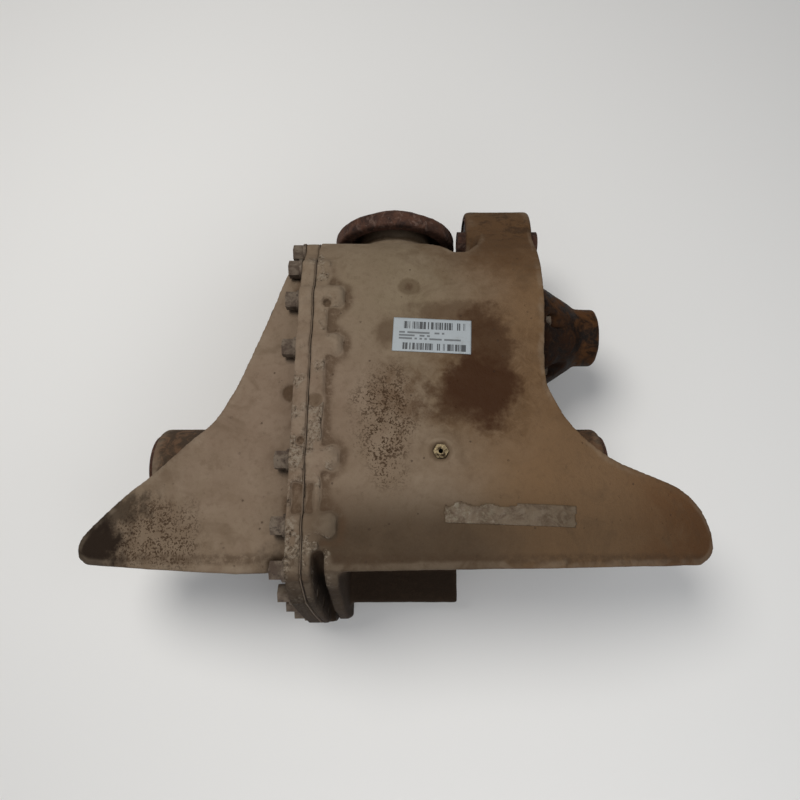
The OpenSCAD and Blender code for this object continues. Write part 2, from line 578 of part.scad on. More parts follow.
// ---------- Bushes ----------
module bush_sleeve(at, len, r) color("dimgray") translate([0, at[1], at[2]]) tube_x(at[0], at[0] + len, r, r - 2);
module bush_rubber(at, len, r, inner) color("black") translate([0, at[1], at[2]])
  tube_x(at[0] + 2, at[0] + len - 2, r - 2, inner);
module bush_inner(at, x0, x1, inner) color("saddlebrown") translate([0, at[1], at[2]])
  tube_x(x0, x1, inner, bush_bore_r);
front_inner_r = 14;
rear_inner_r = 13;
module front_bush_sleeve() bush_sleeve(front_eye, front_eye_len, front_sleeve_r);
module front_bush_rubber() bush_rubber(front_eye, front_eye_len, front_sleeve_r, front_inner_r);
module front_bush_inner() bush_inner(front_eye, 72, 163, front_inner_r);
module rear_left_bush_sleeve() bush_sleeve(left_eye - [4, 0, 0], rear_eye_len + 3, rear_sleeve_r);
module rear_left_bush_rubber() bush_rubber(left_eye - [4, 0, 0], rear_eye_len + 3, rear_sleeve_r, rear_inner_r);
module rear_left_bush_inner() bush_inner(left_eye, -254, -182, rear_inner_r);
module rear_right_bush_sleeve() bush_sleeve(right_eye + [3, 0, 0], rear_eye_len + 1, rear_sleeve_r);
module rear_right_bush_rubber() bush_rubber(right_eye + [3, 0, 0], rear_eye_len + 1, rear_sleeve_r, rear_inner_r);
module rear_right_bush_inner() bush_inner(right_eye, 154, 223, rear_inner_r);

// ---------- Small fittings ----------
module breather() color("goldenrod") translate([breather_at[0], breather_at[1], 0]) difference() {
  union() {
    translate([0, 0, 103]) cylinder(10, r = 5);
    translate([0, 0, 113]) cylinder(4, r = 7, $fn = 6);
  }
  translate([0, 0, 100]) cylinder(20, r = 2.2);
}
plug_washer_t = 1.2;
module plug() difference() {
  union() {
    translate([0, 0, plug_washer_t]) cylinder(3.6, r = 12);
    translate([0, 0, -13]) cylinder(13 + plug_washer_t + 0.1, r = plug_r - 0.05);
  }
  translate([0, 0, -6]) cylinder(20, r = 5, $fn = 6);
}
module fill_plug() color("dimgray") at_fill() plug();
module drain_plug() color("dimgray") at_drain() plug();
module plug_washers() color("goldenrod") plug_seats() difference() {
  cylinder(plug_washer_t, r = 13.5);
  translate([0, 0, -1]) cylinder(plug_washer_t + 2, r = plug_r);
}
// A thin layer lying on the top skin, cut to a patch
module on_skin(t) intersection() {
  difference() {
    translate([0, 0, t]) skin_top();
    skin_top();
  }
  children();
}
module skin_top() {
  chamber_block(-20, end_x, 0);
  bell_block(0, skirt_low, 0);
}
module label() color("white") on_skin(0.4) translate([37, -35, 80]) rotate([0, 0, -3])
  translate([-38, -18, 0]) cube([76, 36, 60]);
module tape_remnant() color("khaki") on_skin(0.3) translate([104, -206, 40]) rotate([0, 0, -2])
  translate([-60, -8, 0]) cube([120, 17, 90]);

// ---------- The part: origin at the middle of the input flange's mating face ----------
module placed() translate([0, -flange_face_y, 0]) children();
placed() main_housing();
placed() side_cover();
placed() cover_gasket();
placed() cover_bolts();
placed() dowel_pins();
placed() right_output_carrier();
placed() carrier_bolts();
placed() left_output_seal();
placed() right_output_seal();
placed() drive_pinion();
placed() pinion_shim();
placed() crush_spacer();
placed() pinion_oil_seal();
placed() pinion_nut();
placed() input_flange();
placed() pinion_inner_cup();
placed() pinion_inner_cone();
placed() pinion_inner_rollers();
placed() pinion_outer_cup();
placed() pinion_outer_cone();
placed() pinion_outer_rollers();
placed() crown_wheel();
placed() crown_wheel_bolts();
placed() differential_case();
placed() cross_pin();
placed() cross_pin_lock();
placed() left_side_gear();
placed() right_side_gear();
placed() planet_gear_a();
placed() planet_gear_b();
placed() side_thrust_washers();
placed() planet_thrust_washers();
placed() left_carrier_cup();
placed() left_carrier_cone();
placed() left_carrier_rollers();
placed() right_carrier_cup();
placed() right_carrier_cone();
placed() right_carrier_rollers();
placed() left_carrier_shim();
placed() right_carrier_shim();
placed() front_bush_sleeve();
placed() front_bush_rubber();
placed() front_bush_inner();
placed() rear_left_bush_sleeve();
placed() rear_left_bush_rubber();
placed() rear_left_bush_inner();
placed() rear_right_bush_sleeve();
placed() rear_right_bush_rubber();
placed() rear_right_bush_inner();
placed() breather();
placed() fill_plug();
placed() drain_plug();
placed() plug_washers();
placed() label();
placed() tape_remnant();
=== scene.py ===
"""A used rear axle differential: cast casing under dried mud, rusty flange, worn bushes and its gears."""
import json
import math
import random

import bpy
import bmesh
import numpy as np
from mathutils import Matrix, Vector, noise


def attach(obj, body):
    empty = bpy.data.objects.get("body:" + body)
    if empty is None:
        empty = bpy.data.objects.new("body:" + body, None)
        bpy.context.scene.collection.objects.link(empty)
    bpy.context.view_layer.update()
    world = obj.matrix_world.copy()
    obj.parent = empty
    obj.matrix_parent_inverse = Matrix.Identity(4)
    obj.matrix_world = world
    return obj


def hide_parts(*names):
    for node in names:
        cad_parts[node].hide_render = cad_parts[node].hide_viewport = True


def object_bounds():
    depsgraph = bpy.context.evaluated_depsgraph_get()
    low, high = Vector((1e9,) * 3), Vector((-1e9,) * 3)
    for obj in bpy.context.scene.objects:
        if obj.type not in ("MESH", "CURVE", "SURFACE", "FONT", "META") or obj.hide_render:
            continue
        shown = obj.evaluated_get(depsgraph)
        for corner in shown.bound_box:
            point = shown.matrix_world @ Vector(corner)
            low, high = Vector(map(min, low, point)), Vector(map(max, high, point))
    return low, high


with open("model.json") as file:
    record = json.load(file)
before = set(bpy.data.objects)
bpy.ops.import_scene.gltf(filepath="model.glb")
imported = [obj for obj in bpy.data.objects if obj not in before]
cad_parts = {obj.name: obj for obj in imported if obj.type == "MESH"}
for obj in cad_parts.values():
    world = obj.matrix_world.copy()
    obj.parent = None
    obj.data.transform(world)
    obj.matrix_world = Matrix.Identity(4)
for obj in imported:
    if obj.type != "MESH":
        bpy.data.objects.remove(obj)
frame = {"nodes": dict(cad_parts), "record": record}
cad_low, cad_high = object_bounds()
nodes = frame["nodes"]
spin = {j["name"]: Vector(j["pos_m"]) for j in frame["record"]["behaviour"]["joints"]}
# The axle axis runs along X and the pinion axis along Y; both pass through this point
centre = spin["case_spin"]


# ---------- Mesh helpers ----------
def add_object(name, mesh):
    made = bpy.data.objects.new(name, mesh)
    bpy.context.scene.collection.objects.link(made)
    return made


def applied(obj):
    """Replaces an object's mesh with the result of its modifiers."""
    graph = bpy.context.evaluated_depsgraph_get()
    mesh = bpy.data.meshes.new_from_object(obj.evaluated_get(graph))
    obj.modifiers.clear()
    old = obj.data
    obj.data = mesh
    bpy.data.meshes.remove(old)
    return obj


def welded_copy(name, node):
    """A new object with a CAD node's mesh, its split vertices joined."""
    mesh = nodes[node].data.copy()
    mesh.materials.clear()
    shape = bmesh.new()
    shape.from_mesh(mesh)
    bmesh.ops.remove_doubles(shape, verts=shape.verts, dist=2e-6)
    shape.to_mesh(mesh)
    shape.free()
    return add_object(name, mesh)


def vertex_array(mesh, what="co"):
    values = np.zeros(len(mesh.vertices) * 3, np.float32)
    if what == "co":
        mesh.vertices.foreach_get("co", values)
    else:
        mesh.vertex_normals.foreach_get("vector", values)
    return values.reshape(-1, 3).astype(float)


def set_vertices(mesh, points):
    mesh.vertices.foreach_set("co", points.astype(np.float32).ravel())
    mesh.update()


class Neighbours:
    """Averages over each vertex's neighbours along edges."""

    def __init__(self, mesh):
        ends = np.zeros(len(mesh.edges) * 2, np.int32)
        mesh.edges.foreach_get("vertices", ends)
        ends = ends.reshape(-1, 2)
        self.near = np.concatenate([ends[:, 0], ends[:, 1]])
        self.far = np.concatenate([ends[:, 1], ends[:, 0]])
        self.count = len(mesh.vertices)
        self.share = 1 / np.maximum(np.bincount(self.near, minlength=self.count), 1)

    def mean(self, values):
        if values.ndim == 1:
            return np.bincount(self.near, values[self.far], self.count) * self.share
        return np.stack([self.mean(values[:, k]) for k in range(values.shape[1])], 1)


def cast_shape(obj, voxel, fill_rounds, soften_rounds):
    """Turns sharp CAD edges into a casting: wide fillets in inner corners, small rounds on outer ones."""
    remesh = obj.modifiers.new("cast", "REMESH")
    remesh.mode = "VOXEL"
    remesh.voxel_size = voxel
    remesh.use_smooth_shade = True
    applied(obj)
    mesh = obj.data
    around = Neighbours(mesh)
    points = vertex_array(mesh)
    for step in range(fill_rounds):
        if step % 4 == 0:
            set_vertices(mesh, points)
            normals = vertex_array(mesh, "normal")
        offset = around.mean(points) - points
        lift = (offset * normals).sum(1)
        points = points + 0.5 * (offset - normals * np.minimum(lift, 0)[:, None])
    for _ in range(soften_rounds):
        points = points + 0.5 * (around.mean(points) - points)
    set_vertices(mesh, points)
    return around


def mark_relief(obj, around, rounds=12):
    """Stores how far each vertex stands out of (1) or lies in (0) its surroundings; flat is 0.5."""
    mesh = obj.data
    points = vertex_array(mesh)
    normals = vertex_array(mesh, "normal")
    wide = points
    for _ in range(rounds):
        wide = around.mean(wide)
    stand = ((points - wide) * normals).sum(1)
    for _ in range(2):
        stand = around.mean(stand)
    relief = np.clip(0.5 + stand / 0.0016, 0, 1)
    mesh.attributes.new("relief", "FLOAT", "POINT").data.foreach_set("value", relief.astype(np.float32))


def noisy(points, size, seed):
    """Smooth noise from -1 to 1 at each point, with features of about the given size in metres."""
    shift = Vector((seed * 7.31, seed * 3.17, seed * 5.71))
    return np.array([noise.noise(Vector(p) / size + shift) for p in points])


# ---------- Material helpers ----------
# Share of the display value's brightness that a surface reflects; the rest comes from the lights
REFLECTANCE = 0.57


def srgb(red, green, blue, share=REFLECTANCE):
    """A linear colour from 0-255 display values."""
    def linear(value):
        value /= 255
        return value / 12.92 if value <= 0.04045 else ((value + 0.055) / 1.055) ** 2.4
    return (linear(red) * share, linear(green) * share, linear(blue) * share, 1)


class Paint:
    """Builds one procedural material. Textures use the row frame in metres, so they stay on the object."""

    def __init__(self, name):
        self.material = bpy.data.materials.new(name)
        self.material.use_nodes = True
        self.tree = self.material.node_tree
        self.tree.nodes.clear()
        self.place = self.add("ShaderNodeTexCoord").outputs["Object"]

    def add(self, kind, values=None, **settings):
        made = self.tree.nodes.new(kind)
        for key, value in settings.items():
            setattr(made, key, value)
        for key, value in (values or {}).items():
            if isinstance(value, bpy.types.NodeSocket):
                self.tree.links.new(value, made.inputs[key])
            else:
                made.inputs[key].default_value = value
        return made

    def noise(self, size, detail=4.0, rough=0.55, warp=0.0, stretch=(1, 1, 1), at=None):
        """Noise from 0 to 1 whose largest features are about size metres."""
        place = self.add("ShaderNodeMapping", {"Vector": at or self.place, "Scale": stretch}).outputs[0]
        return self.add("ShaderNodeTexNoise", {"Vector": place, "Scale": 1 / size, "Detail": detail,
                                               "Roughness": rough, "Distortion": warp}).outputs["Fac"]

    def cells(self, size, feature="F1", randomness=1.0):
        return self.add("ShaderNodeTexVoronoi", {"Vector": self.place, "Scale": 1 / size,
                                                 "Randomness": randomness}, feature=feature).outputs["Distance"]

    def step(self, value, low, high, start=0.0, end=1.0):
        """Runs smoothly from start to end as value goes from low to high."""
        return self.add("ShaderNodeMapRange", {"Value": value, "From Min": low, "From Max": high,
                                               "To Min": start, "To Max": end},
                        interpolation_type="SMOOTHSTEP").outputs[0]

    def maths(self, operation, first, second=0.0):
        return self.add("ShaderNodeMath", {0: first, 1: second}, operation=operation, use_clamp=False).outputs[0]

    def times(self, *values):
        result = values[0]
        for value in values[1:]:
            result = self.maths("MULTIPLY", result, value)
        return result

    def mix(self, share, first, second, blend="MIX"):
        return self.add("ShaderNodeMix", {0: share, 6: first, 7: second}, data_type="RGBA",
                        blend_type=blend).outputs[2]

    def axis(self, which):
        return self.add("ShaderNodeSeparateXYZ", {0: self.place}).outputs[which]

    def facing(self, which):
        normal = self.add("ShaderNodeNewGeometry").outputs["Normal"]
        return self.add("ShaderNodeSeparateXYZ", {0: normal}).outputs[which]

    def relief(self):
        return self.add("ShaderNodeAttribute", attribute_name="relief").outputs["Fac"]

    def near(self, point, reach, radii=(1, 1, 1), edge=0.5, ragged=0.35, grain=0.02):
        """1 near a point, falling to 0 at about reach metres, with a ragged edge."""
        offset = self.add("ShaderNodeVectorMath", {0: self.place, 1: tuple(point)}, operation="SUBTRACT").outputs[0]
        scaled = self.add("ShaderNodeVectorMath", {0: offset, 1: tuple(1 / (reach * r) for r in radii)},
                          operation="MULTIPLY").outputs[0]
        distance = self.add("ShaderNodeVectorMath", {0: scaled}, operation="LENGTH").outputs["Value"]
        wobble = self.maths("MULTIPLY", self.maths("SUBTRACT", self.noise(grain, 5, 0.65), 0.5), ragged * 4)
        return self.step(self.maths("ADD", distance, wobble), 1 + edge / 2, 1 - edge / 2)

    def bump(self, height, distance, normal=None, strength=1.0):
        values = {"Height": height, "Distance": distance, "Strength": strength}
        if normal is not None:
            values["Normal"] = normal
        return self.add("ShaderNodeBump", values).outputs[0]

    def finish(self, colour, roughness, normal=None, **sockets):
        values = {"Base Color": colour, "Roughness": roughness}
        values.update({key.replace("_", " "): value for key, value in sockets.items()})
        shader = self.add("ShaderNodeBsdfPrincipled", values)
        if normal is not None:
            self.tree.links.new(normal, shader.inputs["Normal"])
        output = self.add("ShaderNodeOutputMaterial")
        self.tree.links.new(shader.outputs[0], output.inputs[0])
        return self.material


# ---------- Materials ----------
def at(x, y, z):
    """A place given in millimetres from where the axle and pinion axes cross."""
    return centre + Vector((x, y, z)) / 1000


def mud_casting():
    """Dried tan mud over cast aluminium: browner to the right, black oil at the left tip and round the label."""
    p = Paint("mud_casting")
    x, y, z = (p.maths("SUBTRACT", p.axis(k), centre[k]) for k in range(3))
    broad = p.noise(0.16, 3, 0.5, 0.4)
    middle = p.noise(0.035, 6, 0.6, 0.6)
    fine = p.noise(0.006, 6, 0.7)
    grain = p.noise(0.0016, 4, 0.7)
    pale, tan = srgb(160, 140, 118), srgb(144, 123, 101)
    green_grey, brown, orange = srgb(148, 133, 106), srgb(138, 105, 72), srgb(114, 70, 31)
    colour = p.mix(p.step(middle, 0.3, 0.72), tan, pale)
    colour = p.mix(p.times(p.near(at(-20, 20, 90), 0.09, (1, 0.8, 2), 1.4), 0.55), colour, green_grey)
    colour = p.mix(p.times(p.step(broad, 0.52, 0.7), 0.4), colour, green_grey)
    # Pinkish mud along the joint and the left skin
    pink = p.near(at(-120, -60, 90), 0.10, (1, 1.4, 2), 1.4)
    colour = p.mix(p.times(pink, 0.35), colour, srgb(160, 134, 117))
    drift = p.maths("ADD", x, p.times(p.maths("SUBTRACT", broad, 0.5), 0.16))
    colour = p.mix(p.times(p.step(drift, 0.02, 0.16), 0.9), colour, brown)
    colour = p.mix(p.times(p.step(drift, 0.20, 0.30), p.step(middle, 0.25, 0.55, 0.3, 1), 0.9), colour, orange)
    # The front arm and eye are dirtier and browner
    arm = p.near(at(112, 92, 40), 0.072, (1, 0.95, 1.6), 1.2)
    streaks = p.step(p.noise(0.018, 6, 0.7, 1.0, (1, 2.2, 1)), 0.47, 0.62)
    colour = p.mix(p.times(arm, 0.9), colour, srgb(98, 67, 38))
    colour = p.mix(p.times(p.near(at(118, 122, 30), 0.046, (1, 0.8, 1.6), 0.8), streaks, 0.75), colour,
                   srgb(58, 36, 20))
    # Rusty brown on the rear eyes
    for place in (at(-216, -136, 40), at(200, -130, 40)):
        swirl = p.mix(p.step(p.noise(0.016, 5, 0.7, 1.5), 0.42, 0.6), srgb(50, 34, 25), srgb(112, 80, 58))
        colour = p.mix(p.times(p.near(place, 0.036, (1.1, 0.9, 1.3), 0.7), 0.85), colour, swirl)
    # Damp, darker patches soaked into the mud
    colour = p.mix(p.times(p.step(p.noise(0.05, 5, 0.6, 1.2), 0.54, 0.66), 0.3), colour, srgb(104, 82, 60))
    # The rear of the skin is painted darker as shade, with a band along the edge
    rear = p.times(p.step(y, -0.168, -0.226), p.step(x, -0.10, -0.05), p.step(x, 0.16, 0.05, 0.45, 1))
    colour = p.mix(p.times(rear, p.step(middle, 0.2, 0.7, 0.8, 1), 0.9), colour, srgb(66, 48, 30))
    colour = p.mix(p.times(p.near(at(-92, -266, 70), 0.034, (1.1, 0.9, 2), 0.9), 0.85), colour, srgb(50, 35, 24))
    band = p.times(p.step(y, -0.238, -0.243), p.step(y, -0.252, -0.247))
    colour = p.mix(p.times(band, p.step(fine, 0.3, 0.6), 0.5), colour, srgb(70, 50, 34))
    # Oil that ran down beside the label
    oil = srgb(74, 44, 20)
    stain = p.near(at(84, -86, 105), 0.033, (1, 1.15, 2), 0.5, 0.45, 0.03)
    stain_right = p.near(at(92, -46, 105), 0.024, (0.9, 1.5, 2), 0.8, 0.6, 0.02)
    stain_low = p.near(at(62, -100, 105), 0.026, (1.3, 0.8, 2), 0.9, 0.7, 0.02)
    stain_above = p.near(at(84, -20, 105), 0.014, (1.3, 1.0, 2), 0.9, 0.7, 0.014)
    stain_edge = p.near(at(60, -8, 100), 0.022, (2.0, 0.55, 2), 0.8, 0.5, 0.02)
    stain_left = p.near(at(-8, -30, 100), 0.012, (1.0, 1.3, 2), 0.8, 0.6, 0.012)
    halo = p.near(at(86, -75, 105), 0.058, (1, 1.1, 2), 1.2, 0.5, 0.03)
    mottle = p.step(p.noise(0.014, 6, 0.75, 0.8), 0.35, 0.6, 0.25, 1)
    colour = p.mix(p.times(halo, mottle, 0.7), colour, srgb(98, 68, 38))
    for mask, depth in ((stain, 0.95), (stain_low, 0.85), (stain_right, 0.85), (stain_above, 0.75), (stain_edge, 0.5),
                        (stain_left, 0.5)):
        colour = p.mix(p.times(mask, depth), colour, oil)
    spots = p.step(p.maths("ADD", p.noise(0.0021, 3, 0.7), p.times(p.noise(0.011, 4, 0.7), 0.5)), 0.77, 0.82)
    spot_field = p.near(at(-8, -122, 110), 0.034, (0.75, 1.5, 2), 1.0, 0.4, 0.03)
    field_core = p.near(at(2, -96, 110), 0.026, (0.8, 1.3, 2), 1.2, 0.6, 0.02)
    colour = p.mix(p.times(field_core, mottle, 0.55), colour, srgb(92, 62, 34))
    colour = p.mix(p.times(spots, spot_field, 0.95), colour, srgb(62, 40, 20))
    wing_field = p.near(at(-222, -226, 85), 0.040, (1.2, 0.8, 2), 0.9, 0.4, 0.03)
    colour = p.mix(p.times(wing_field, mottle, 0.2), colour, srgb(98, 72, 48))
    colour = p.mix(p.times(spots, wing_field, 0.9), colour, srgb(66, 44, 26))
    # Pepper dots all over
    dots = p.step(p.cells(0.011), 0.11, 0.07)
    colour = p.mix(p.times(dots, p.step(p.noise(0.03, 2), 0.5, 0.6), 0.6), colour, srgb(70, 52, 40))
    # Small dark marks: painted shade in the two dents beside the joint, and soaked marks in front of the label and
    # round the breather
    for place, reach in ((at(-99, -90, 95), 0.0085), (at(-73, -102, 112), 0.0075), (at(15, 20, 96), 0.011),
                         (at(43, -150, 112), 0.011)):
        colour = p.mix(p.times(p.near(place, reach, (1, 0.9, 2), 0.35, 0.12, 0.01), 0.5), colour, srgb(92, 70, 46))
    # Oily black left tip and front edge of the left wing
    black = srgb(44, 31, 20)
    tip = p.near(at(-300, -232, 60), 0.040, (1.15, 0.9, 1.5), 0.8, 0.5, 0.02)
    edge = p.near(at(-272, -196, 70), 0.03, (1.5, 0.6, 1), 0.8, 0.7, 0.012)
    colour = p.mix(p.times(tip, 0.97), colour, black)
    colour = p.mix(p.times(edge, 0.75), colour, black)
    # Corroded edges of the joint: white crust with black pits
    relief = p.relief()
    crust_noise = p.noise(0.0032, 5, 0.8)
    ridge = p.times(p.step(x, -0.098, -0.092), p.step(x, -0.052, -0.058), p.step(relief, 0.56, 0.72),
                    p.step(p.maths("ADD", p.noise(0.03, 3), p.step(y, -0.06, -0.14, 0, 0.08)), 0.52, 0.62))
    colour = p.mix(p.times(ridge, p.step(crust_noise, 0.5, 0.56), 0.75), colour, srgb(186, 172, 152))
    colour = p.mix(p.times(ridge, p.step(crust_noise, 0.46, 0.41), 0.9), colour, srgb(34, 24, 18))
    # Inner corners are darker, partly dirt and partly painted shade; outer edges are rubbed paler
    colour = p.mix(p.times(p.step(relief, 0.46, 0.2), p.step(fine, 0.2, 0.55), 0.7), colour, srgb(88, 64, 44))
    colour = p.mix(p.times(p.step(relief, 0.62, 0.95), p.step(middle, 0.4, 0.6), 0.25), colour, srgb(176, 158, 136))
    # Surfaces facing down and the low part of the casing are darker, partly oil and dirt and partly painted shade;
    # everything past the rear edge, below the skin, is painted shade
    low = p.maths("MAXIMUM", p.times(p.step(p.facing(2), 0.3, -0.3), 0.75), p.step(z, 0.045, -0.03))
    # Painted shade on the rear block below the wings
    rear_block_shade = p.times(p.step(y, -0.254, -0.262), p.step(z, 0.112, 0.075))
    colour = p.mix(p.times(low, 0.72), colour, srgb(74, 52, 36))
    colour = p.mix(p.times(rear_block_shade, 0.85), colour, srgb(46, 32, 22))
    wet = p.maths("MAXIMUM", p.maths("MAXIMUM", stain, tip), p.times(low, 0.3))
    dry = p.maths("SUBTRACT", 1.0, wet)
    colour = p.mix(p.times(p.step(fine, 0.45, 0.75), dry, 0.28), colour, srgb(96, 74, 54))
    colour = p.mix(p.times(grain, dry, 0.12), colour, srgb(176, 158, 134))
    rough = p.add("ShaderNodeMapRange", {"Value": wet, "To Min": 0.93, "To Max": 0.62}).outputs[0]
    normal = p.bump(p.noise(0.012, 6, 0.65), 0.0012)
    normal = p.bump(grain, 0.0003, normal)
    normal = p.bump(dots, -0.0004, normal)
    normal = p.bump(p.times(ridge, crust_noise), 0.0012, normal)
    return p.finish(colour, rough, normal, Specular_IOR_Level=0.12)


def dark_casting():
    """The output bearing carrier: brown rust and baked oil, with painted shade on its rear half."""
    p = Paint("dark_casting")
    middle = p.noise(0.02, 6, 0.65, 0.8)
    fine = p.noise(0.004, 6, 0.7)
    y = p.maths("SUBTRACT", p.axis(1), centre[1])
    # The rear half stays dark as painted shade; the front half and the stub end take lighter rust
    lighter_front_and_end = p.maths("ADD", p.step(y, -0.02, 0.03), p.step(p.axis(0), 0.19, 0.21))
    rusty = p.mix(p.times(lighter_front_and_end, p.step(middle, 0.3, 0.6, 0.4, 1)), srgb(58, 34, 18), srgb(104, 68, 38))
    colour = p.mix(p.step(middle, 0.35, 0.65), srgb(28, 16, 8), rusty)
    colour = p.mix(p.times(p.step(fine, 0.5, 0.7), 0.3), colour, srgb(112, 78, 46))
    colour = p.mix(p.times(p.step(p.noise(0.012, 5, 0.7), 0.55, 0.68), 0.8), colour, srgb(24, 16, 11))
    normal = p.bump(middle, 0.0016)
    normal = p.bump(fine, 0.0005, normal)
    return p.finish(colour, p.step(middle, 0.3, 0.7, 0.5, 0.85), normal, Specular_IOR_Level=0.12)


def rust(name, flaked=0.6):
    """Rusty steel with pale flaked patches and dark pits."""
    p = Paint(name)
    middle = p.noise(0.014, 7, 0.68, 0.8)
    fine = p.noise(0.0028, 6, 0.75)
    colour = p.mix(p.step(middle, 0.3, 0.65), srgb(52, 32, 24), srgb(104, 68, 50))
    colour = p.mix(p.times(p.step(p.noise(0.009, 6, 0.7, 1), 0.52, 0.64), flaked), colour, srgb(138, 112, 98))
    colour = p.mix(p.times(p.step(fine, 0.55, 0.72), 0.7), colour, srgb(30, 18, 13))
    normal = p.bump(middle, 0.0014)
    normal = p.bump(fine, 0.0006, normal)
    return p.finish(colour, 0.85, normal, Specular_IOR_Level=0.35)


def dirty_steel():
    """Bolt heads: steel under mud, rubbed bare at the corners."""
    p = Paint("dirty_steel")
    middle = p.noise(0.01, 6, 0.65, 0.5)
    colour = p.mix(p.step(middle, 0.35, 0.62), srgb(92, 74, 60), srgb(138, 122, 104))
    colour = p.mix(p.times(p.step(p.noise(0.005, 5, 0.7), 0.55, 0.66), 0.75), colour, srgb(58, 42, 31))
    normal = p.bump(p.noise(0.004, 6, 0.7), 0.0006)
    return p.finish(colour, 0.8, normal, Specular_IOR_Level=0.4)


def machined(name, colour, rough, turned_about=None):
    """Oiled machined steel or brass with fine tool marks and faint stains."""
    p = Paint(name)
    stretch = {None: (1, 1, 1), "x": (12, 1, 1), "y": (1, 12, 1)}[turned_about]
    marks = p.noise(0.006, 4, 0.6, 0, stretch)
    stains = p.noise(0.02, 5, 0.6, 0.6)
    dark = tuple(c * 0.55 for c in colour[:3]) + (1,)
    shade = p.mix(p.times(p.step(stains, 0.45, 0.7), 0.6), colour, dark)
    return p.finish(shade, p.step(marks, 0.2, 0.8, rough - 0.08, rough + 0.12), p.bump(marks, 0.00008),
                    Metallic=1.0)


def rubber(name):
    p = Paint(name)
    dust = p.noise(0.012, 6, 0.65)
    colour = p.mix(p.times(p.step(dust, 0.42, 0.7), 0.75), srgb(26, 22, 20), srgb(92, 74, 58))
    return p.finish(colour, p.step(dust, 0.3, 0.7, 0.6, 0.9), p.bump(p.noise(0.003, 5, 0.7), 0.0004))


def old_brass():
    p = Paint("old_brass")
    grime = p.noise(0.004, 5, 0.65)
    colour = p.mix(p.step(grime, 0.42, 0.66), srgb(168, 150, 116), srgb(64, 48, 32))
    return p.finish(colour, p.step(grime, 0.3, 0.7, 0.32, 0.7), p.bump(grime, 0.0003), Metallic=0.9)


def label_paper(middle, turn, width, depth):
    """White paper with rows of plain bars; the rows carry no lettering."""
    p = Paint("label_paper")
    local = p.add("ShaderNodeMapping", {"Vector": p.place, "Location": tuple(middle), "Rotation": (0, 0, turn)},
                  vector_type="TEXTURE").outputs[0]
    parts = p.add("ShaderNodeSeparateXYZ", {0: local})
    u, v = parts.outputs[0], parts.outputs[1]

    def band(value, low, high):
        return p.times(p.maths("GREATER_THAN", value, low), p.maths("LESS_THAN", value, high))

    def bars(pitch, share, seed):
        cell = p.maths("FLOOR", p.maths("ADD", p.maths("DIVIDE", u, pitch), seed))
        random_value = p.add("ShaderNodeTexWhiteNoise", {"W": cell}, noise_dimensions="1D").outputs["Value"]
        return p.maths("LESS_THAN", random_value, share)

    left = -width / 2
    ink = p.times(bars(0.00062, 0.52, 40), band(v, depth * 0.18, depth * 0.40), band(u, left + 0.010, left + 0.070))
    for row, (low, end, seed) in enumerate(((0.04, 0.050, 3), (-0.05, 0.036, 9), (-0.14, 0.066, 21))):
        dashes = p.times(bars(0.0024, 0.74, seed), band(v, depth * low, depth * (low + 0.055)),
                         band(u, left + 0.006, left + end))
        ink = p.maths("MAXIMUM", ink, p.times(dashes, 0.75))
    lower = p.times(bars(0.00058, 0.5, 70), band(v, depth * -0.44, depth * -0.24),
                    band(u, left + 0.010, left + 0.072))
    ink = p.maths("MAXIMUM", ink, lower)
    soil = p.step(p.noise(0.012, 6, 0.7), 0.5, 0.75)
    colour = p.mix(p.times(soil, 0.3), srgb(196, 204, 208), srgb(150, 140, 124))
    colour = p.mix(p.times(ink, 0.88), colour, srgb(32, 32, 34))
    return p.finish(colour, 0.55, p.bump(p.noise(0.01, 3), 0.0001))


def old_tape():
    p = Paint("old_tape")
    middle = p.noise(0.012, 6, 0.7, 0.6)
    colour = p.mix(p.step(middle, 0.4, 0.62), srgb(118, 97, 71), srgb(94, 72, 47))
    across = p.maths("SUBTRACT", p.axis(0), centre[0])
    flakes = p.times(p.step(p.noise(0.005, 6, 0.75), 0.48, 0.6), p.step(across, 0.11, 0.06, 0.25, 1))
    colour = p.mix(p.times(flakes, 0.6), colour, srgb(146, 135, 111))
    return p.finish(colour, p.step(middle, 0.3, 0.7, 0.35, 0.8), p.bump(middle, 0.0006))


def plain(name, colour, rough):
    p = Paint(name)
    grime = p.noise(0.008, 5, 0.6)
    dark = tuple(c * 0.6 for c in colour[:3]) + (1,)
    return p.finish(p.mix(p.step(grime, 0.4, 0.7), colour, dark), rough, p.bump(grime, 0.0002))


def paint(obj, material):
    obj.data.materials.clear()
    obj.data.materials.append(material)


# ---------- The castings ----------
def dent(points, normals, place, radius, depth, edge=0.25):
    """Presses a round, flat-bottomed mark of the given depth into the skin that faces up."""
    flat = np.hypot(points[:, 0] - place[0], points[:, 1] - place[1]) / radius
    share = np.clip((1 + edge / 2 - flat) / edge, 0, 1)
    share = share * share * (3 - 2 * share) * (normals[:, 2] > 0.4) * (points[:, 2] > place[2] - 0.03)
    return points - np.array([0, 0, depth]) * share[:, None]


def pocket(points, normals, low, high, depth, edge):
    """Presses a rectangular pocket with sloped sides into the skin that faces up."""
    inside = np.minimum(np.minimum(points[:, 0] - low[0], high[0] - points[:, 0]),
                        np.minimum(points[:, 1] - low[1], high[1] - points[:, 1]))
    share = np.clip(inside / edge, 0, 1) * (normals[:, 2] > 0.3) * (points[:, 2] > low[2])
    return points - np.array([0, 0, depth]) * share[:, None]


def level(points, normals, around, low, high, rounds=70):
    """Evens out the skin that faces up between two corners."""
    inside = (points > low).all(1) & (points < high).all(1) & (normals[:, 2] > 0.5)
    for _ in range(rounds):
        points = np.where(inside[:, None], around.mean(points), points)
    return points


